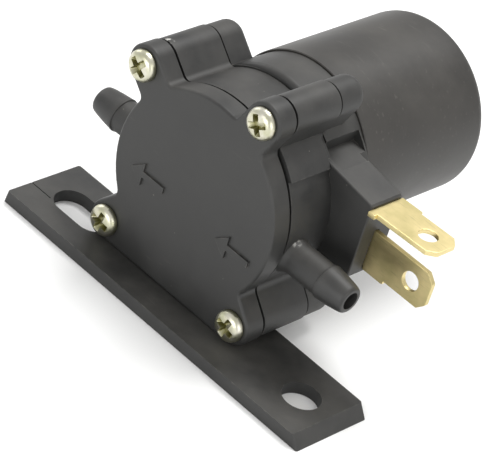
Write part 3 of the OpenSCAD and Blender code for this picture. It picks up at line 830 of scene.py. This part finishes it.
class PUMP_OT_motor_mount(bpy.types.Operator):
    """Motor mount with its screw bosses and terminal block"""

    bl_idname = "pump.mount"
    bl_label = "Motor mount"

    def execute(self, context):
        s = context.scene.pump_sizes
        disc_z = disc_centre()
        front = BODY_HIGH.y
        rear = CAN_LOW.y
        flange_r = mm(s.cover_r) + 0.1
        gap = mm(s.seam_gap)
        solids = [slab([circle(0, disc_z, flange_r, 4.0)], front + 0.03, rear, 0.05, 0.3, 3),
                  slab([circle(0, disc_z, flange_r - mm(s.seam_deep), 4.0)], front, front + 1.0),
                  slab([circle(0, AXIS_Z, 13.55, 4.0)], front + 0.03, rear, 0.9, 0.05, 5)]
        boss_r = mm(s.ear_r) - 0.3
        for place in screw_places():
            solids.append(slab([ear_loop(place, boss_r)], front + gap, front + 5.6, mm(s.seam_edge), 1.7, 6))
            solids.append(slab([ear_loop(place, boss_r - mm(s.seam_deep))], front, front + 1.0))
        right = MOUNT_HIGH.x
        top = disc_z + BLOCK_TOP
        inner = 7.8
        rise = (right - inner) * math.tan(math.radians(BLOCK_SLOPE))
        side = [(right - 0.3, disc_z - 4.0), (right, disc_z - 3.7), (right, top - 0.3), (right - 0.3, top)]
        block_front = front - BLOCK_AHEAD
        outline = [(inner, disc_z - 4.0)] + side + [(inner, top + rise)]
        terminal_block = slab([outline], block_front, block_front + BLOCK_DEEP, 0.25, 0.35, 3)
        # the front of the block reaches round the mid body's wall
        wall = rod(0, disc_z, mm(s.cover_r) - mm(s.seam_step) + 0.03, block_front - 1, front + 0.01)
        solids.append(fused([terminal_block], [wall]))
        solids.append(rod(0, AXIS_Z, 12.95, rear - 0.1, MOUNT_HIGH.y))
        cuts = [
            # hollow for the brushes, brush card's seat, bushing's seat and shaft's hole
            rod(0, AXIS_Z, 11.0, rear - 5.4, rear + 9),
            rod(0, AXIS_Z, 11.75, CARD_LOW.y, rear + 9),
            rod(0, AXIS_Z, 3.0, BUSH_LOW.y, front + 4),
            rod(0, AXIS_Z, SHAFT_HOLE_R, front - 1, front + 4),
        ]
        for x, z, _ in screw_places():
            cuts.append(rod(x, z, SCREW_R, front - 1, SCREWS_HIGH.y + 0.3))
        # open pocket between the disc and the sloping top of the terminal block
        angle = math.radians(43.0)
        pocket = block((-1.7, -0.5, -0.75), (2.8, rear - front - 0.8, 1.3))
        pocket.transform(Matrix.Translation((flange_r * math.cos(angle), front + 0.3,
                                             disc_z + flange_r * math.sin(angle)))
                         @ Matrix.Rotation(math.radians(BLOCK_SLOPE), 4, "Y"))
        cuts.append(pocket)
        # slots that the blades come out of
        slack = 0.14
        half = mm(s.blade_t) / 2 + slack
        wide = mm(s.blade_w)
        z = top - BLADE_BELOW
        cuts.append(block((right - 1.2, block_front + 0.4, z - half),
                          (right + 1, block_front + wide, z + half)))
        y = block_front + BLOCK_DEEP / 2
        z = top - BLADE_BELOW - BLADE_DROP
        cuts.append(block((right - 1.2, y - half, z - wide - slack), (right + 1, y + half, z + slack)))
        nylon = moulded_nylon("Moulded black nylon, mount", 0.7, 0.52)
        piece(fused(solids, cuts), "motor_mount_moulding", nylon, "motor_mount")
        return {"FINISHED"}


class PUMP_OT_motor_can(bpy.types.Operator):
    """Drawn steel motor can with a bearing boss at the rear"""

    bl_idname = "pump.can"
    bl_label = "Motor can"

    def execute(self, context):
        r = (CAN_HIGH.x - CAN_LOW.x) / 2
        front = CAN_LOW.y
        rear = CAN_HIGH.y - 1.6
        wall = 0.9
        corner = 1.7
        boss = 4.4
        outer = [(r - 0.12, front), (r, front + 0.12)]
        outer += [(r, front + (rear - front) * k / 8) for k in range(1, 8)]
        outer += [(r - corner + x, rear - corner + y) for x, y in arc(0, 0, corner, 0, 90, 11.25)]
        # pressed step round the boss, then the boss itself
        outer += [(9.4, rear), (9.1, rear - 0.06), (8.7, rear - 0.25), (8.4, rear - 0.3)]
        outer += [(boss + 0.9, rear - 0.3), (boss + 0.4, rear - 0.2), (boss + 0.12, rear + 0.05)]
        outer += [(boss, rear + 0.3), (boss, rear + 1.2), (boss - 0.12, rear + 1.48)]
        outer += [(boss - 0.4, rear + 1.6), (1.9, rear + 1.6), (1.7, rear + 1.5), (0, rear + 1.5)]
        inner = [(0, rear + 1.6 - wall), (3.02, rear + 1.6 - wall), (3.02, rear - wall - 0.3),
                 (r - wall, rear - wall - 0.3), (r - wall, front)]
        bm = turned(inner + outer, 128)
        paint = coated_can("Baked black coat on drawn steel")
        piece(about_y(bm, 0, AXIS_Z), "motor_can_shell", paint, "motor_can")
        return {"FINISHED"}


def cross_recess(depth, reach, wide):
    """Cutter for a cross recess: four tapered wings round a blunt point, along +Z."""
    h = wide / 2
    loop = []
    for k in range(4):
        a = math.radians(90 * k)
        for x, y in ((reach - 0.12, -h), (reach, -h + 0.12), (reach, h - 0.12), (reach - 0.12, h), (h, h)):
            loop.append((x * math.cos(a) - y * math.sin(a), x * math.sin(a) + y * math.cos(a)))
    bm = plate([loop], -0.6, depth)
    for v in bm.verts:
        if v.co.z > depth - 0.01:
            v.co.x *= 0.5
            v.co.y *= 0.5
    return bm


class PUMP_OT_screws(bpy.types.Operator):
    """Four pan head cover screws with cross recesses"""

    bl_idname = "pump.screws"
    bl_label = "Cover screws"

    def execute(self, context):
        s = context.scene.pump_sizes
        zinc = yellow_zinc("Yellow passivated zinc plate")
        r = mm(s.head_r)
        tall = -SCREWS_LOW.y
        deep = SCREWS_HIGH.y
        shank_r = SCREW_R - 0.02
        for number, (x, z, _) in enumerate(screw_places()):
            dome = [(0.0, -tall), (r * 0.35, -tall + 0.02), (r * 0.6, -tall + 0.09),
                    (r * 0.78, -tall + 0.23), (r * 0.91, -tall + 0.47), (r * 0.98, -tall + 0.8),
                    (r, -tall + 1.1), (r, -0.12), (r - 0.1, -0.01)]
            shank = [(shank_r, -0.01), (shank_r, deep - 1.2), (0.3, deep), (0.0, deep)]
            head = turned(dome + shank, 48)
            cut = cross_recess(1.0, 2.15, 1.3)
            cut.transform(Matrix.Translation((0, 0, -tall)))
            bm = fused([head], [cut])
            bm.transform(Matrix.Rotation(math.radians(RECESS_TURNS[number]), 4, "Z"))
            piece(about_y(bm, x, z), f"cover_screw_{number + 1}", zinc, "cover_screws", crease=38.0)
        return {"FINISHED"}


def blade_loops(near, far, s):
    """Blade seen flat: shouldered root, tab with cut corners and the detent hole near its tip."""
    wide = mm(s.blade_w)
    out = BLADE_OUT
    cut = 1.3
    outline = [(-1.0, 0.0), (0.0, 0.0)]
    if near:
        outline += [(0.0, -near), (1.2, -near), (1.2, 0.0)]
    outline += [(out - cut, 0.0), (out - 0.15, cut - 0.15), (out, cut + 0.1), (out, wide - cut - 0.1),
                (out - 0.15, wide - cut + 0.15), (out - cut, wide), (4.0, wide), (4.0, wide + far - 0.15),
                (3.85, wide + far), (0.0, wide + far), (0.0, wide), (-1.0, wide)]
    return [outline, circle(out - 3.6, wide / 2, 1.5, 10.0)]


class PUMP_OT_terminals(bpy.types.Operator):
    """Two push-on blade terminals, the upper one lying flat and the lower one on edge"""

    bl_idname = "pump.terminals"
    bl_label = "Blade terminals"

    def execute(self, context):
        s = context.scene.pump_sizes
        half = mm(s.blade_t) / 2
        disc_z = disc_centre()
        right = MOUNT_HIGH.x
        front = BODY_HIGH.y - BLOCK_AHEAD
        upper_z = disc_z + BLOCK_TOP - BLADE_BELOW
        inner = 6.4
        blade = plate(blade_loops(0.6, 0.5, s), -half, half, 0.09, 0.09, 2)
        bend = Matrix.Rotation(math.radians(-BLADE_BEND), 4, "Y")
        blade.transform(Matrix.Translation((right, front + 0.1, upper_z)) @ bend)
        root = block((inner + 2, front + 1.3, upper_z - half), (right + 0.1, front + 6.1, upper_z + half))
        leg = block((inner, front + 3.75, upper_z - half), (inner + 2.02, front + 6.1, ARMS_HIGH.z - 0.5))
        brass = stamped_brass("Stamped brass, upper blade")
        piece(fused([blade, root, leg]), "terminal_upper_blade", brass, "terminal_upper", crease=38.0)

        y = front + BLOCK_DEEP / 2
        lower_z = upper_z - BLADE_DROP
        blade = plate(blade_loops(0.0, 0.6, s), -half, half, 0.09, 0.09, 2)
        stand = Matrix(((1, 0, 0, right), (0, 0, 1, y), (0, -1, 0, lower_z), (0, 0, 0, 1)))
        blade.transform(stand)
        root = block((inner + 2, y - half, lower_z - mm(s.blade_w) + 0.5), (right, y + half, lower_z - 0.5))
        leg = block((inner, y - half, LOWER_LOW.z), (inner + 2.02, y + half, lower_z - 2))
        brass = stamped_brass("Stamped brass, lower blade")
        piece(fused([blade, root, leg]), "terminal_lower_blade", brass, "terminal_lower", crease=38.0)
        return {"FINISHED"}


# name, first and second tone, metallic, roughness, grain in metres, relief in metres
INNER_FINISHES = {
    "cover_seal": ("Nitrile rubber cord", "#1b1b1b", "#242423", 0.0, 0.62, 0.0006, 0.00002),
    "shaft_seal": ("Nitrile rubber lip seal", "#1a1a1a", "#232323", 0.0, 0.58, 0.0006, 0.00002),
    "seal_washer": ("Turned stainless washer", "#b3b4b4", "#9b9c9d", 1.0, 0.32, 0.0004, 0.00001),
    "drive_gear": ("Moulded natural acetal, drive gear", "#e4dfd0", "#d9d3c1", 0.0, 0.38, 0.002, 0.00002),
    "idler_gear": ("Moulded natural acetal, idler gear", "#e2ddce", "#d7d1bf", 0.0, 0.38, 0.002, 0.00002),
    "idler_pin": ("Ground stainless pin", "#a9abad", "#979a9c", 1.0, 0.25, 0.0003, 0.000005),
    "motor_shaft": ("Ground steel shaft", "#b4b7ba", "#a1a4a7", 1.0, 0.22, 0.0003, 0.000005),
    "front_bushing": ("Sintered bronze, front", "#a8854f", "#8d6e40", 1.0, 0.5, 0.0004, 0.00003),
    "rear_bushing": ("Sintered bronze, rear", "#a8854f", "#8d6e40", 1.0, 0.5, 0.0004, 0.00003),
    "front_spacer": ("Moulded nylon spacer, front", "#e6e2d6", "#dcd7c9", 0.0, 0.45, 0.002, 0.00002),
    "rear_spacer": ("Moulded nylon spacer, rear", "#e6e2d6", "#dcd7c9", 0.0, 0.45, 0.002, 0.00002),
    "armature_core": ("Punched steel laminations", "#7e8186", "#686b70", 1.0, 0.45, 0.0005, 0.00004),
    "windings": ("Enamelled copper wire", "#a4552a", "#8a4320", 0.6, 0.35, 0.0003, 0.00008),
    "commutator": ("Drawn copper bars", "#b9743c", "#9c5e2e", 1.0, 0.3, 0.0004, 0.00001),
    "magnets": ("Pressed ferrite", "#3c3c3e", "#303032", 0.0, 0.7, 0.0008, 0.00004),
    "brush_card": ("Phenolic paper board", "#5a4128", "#49331f", 0.0, 0.55, 0.001, 0.00002),
    "brushes": ("Pressed copper graphite", "#35302d", "#262422", 0.3, 0.5, 0.0003, 0.00002),
    "brush_arms": ("Spring bronze strip", "#c58f4e", "#ab783c", 1.0, 0.3, 0.0005, 0.00001),
}


class PUMP_OT_inner_parts(bpy.types.Operator):
    """Finishes for the parts inside the housing, which keep their own shapes"""

    bl_idname = "pump.inner_parts"
    bl_label = "Inner parts"

    def execute(self, context):
        for node, finish in INNER_FINISHES.items():
            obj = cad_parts[node]
            material = plain_finish(*finish)
            if not obj.material_slots:
                obj.data.materials.append(material)
            for held in obj.material_slots:
                held.material = material
        return {"FINISHED"}


class PUMP_PT_panel(bpy.types.Panel):
    bl_idname = "PUMP_PT_panel"
    bl_label = "Bilge Pump"
    bl_space_type = "VIEW_3D"
    bl_region_type = "UI"
    bl_category = "Bilge Pump"

    def draw(self, context):
        scene = context.scene
        for group in (scene.pump_sizes, scene.pump_colours):
            box = self.layout.box()
            for name in group.__annotations__:
                box.prop(group, name)
        for operator in OPERATORS:
            self.layout.operator(operator.bl_idname)


OPERATORS = (
    PUMP_OT_stage,
    PUMP_OT_front_cover,
    PUMP_OT_pump_body,
    PUMP_OT_motor_mount,
    PUMP_OT_motor_can,
    PUMP_OT_screws,
    PUMP_OT_terminals,
    PUMP_OT_inner_parts,
)
CLASSES = (PumpSizes, PumpColours, *OPERATORS, PUMP_PT_panel)


def register():
    for cls in CLASSES:
        bpy.utils.register_class(cls)
    bpy.types.Scene.pump_sizes = PointerProperty(type=PumpSizes)
    bpy.types.Scene.pump_colours = PointerProperty(type=PumpColours)


def unregister():
    del bpy.types.Scene.pump_colours
    del bpy.types.Scene.pump_sizes
    for cls in reversed(CLASSES):
        bpy.utils.unregister_class(cls)


def main():
    register()
    bpy.ops.pump.stage()
    bpy.ops.pump.front_cover()
    bpy.ops.pump.body()
    bpy.ops.pump.mount()
    bpy.ops.pump.can()
    bpy.ops.pump.screws()
    bpy.ops.pump.terminals()
    bpy.ops.pump.inner_parts()


if __name__ == "__main__":
    main()
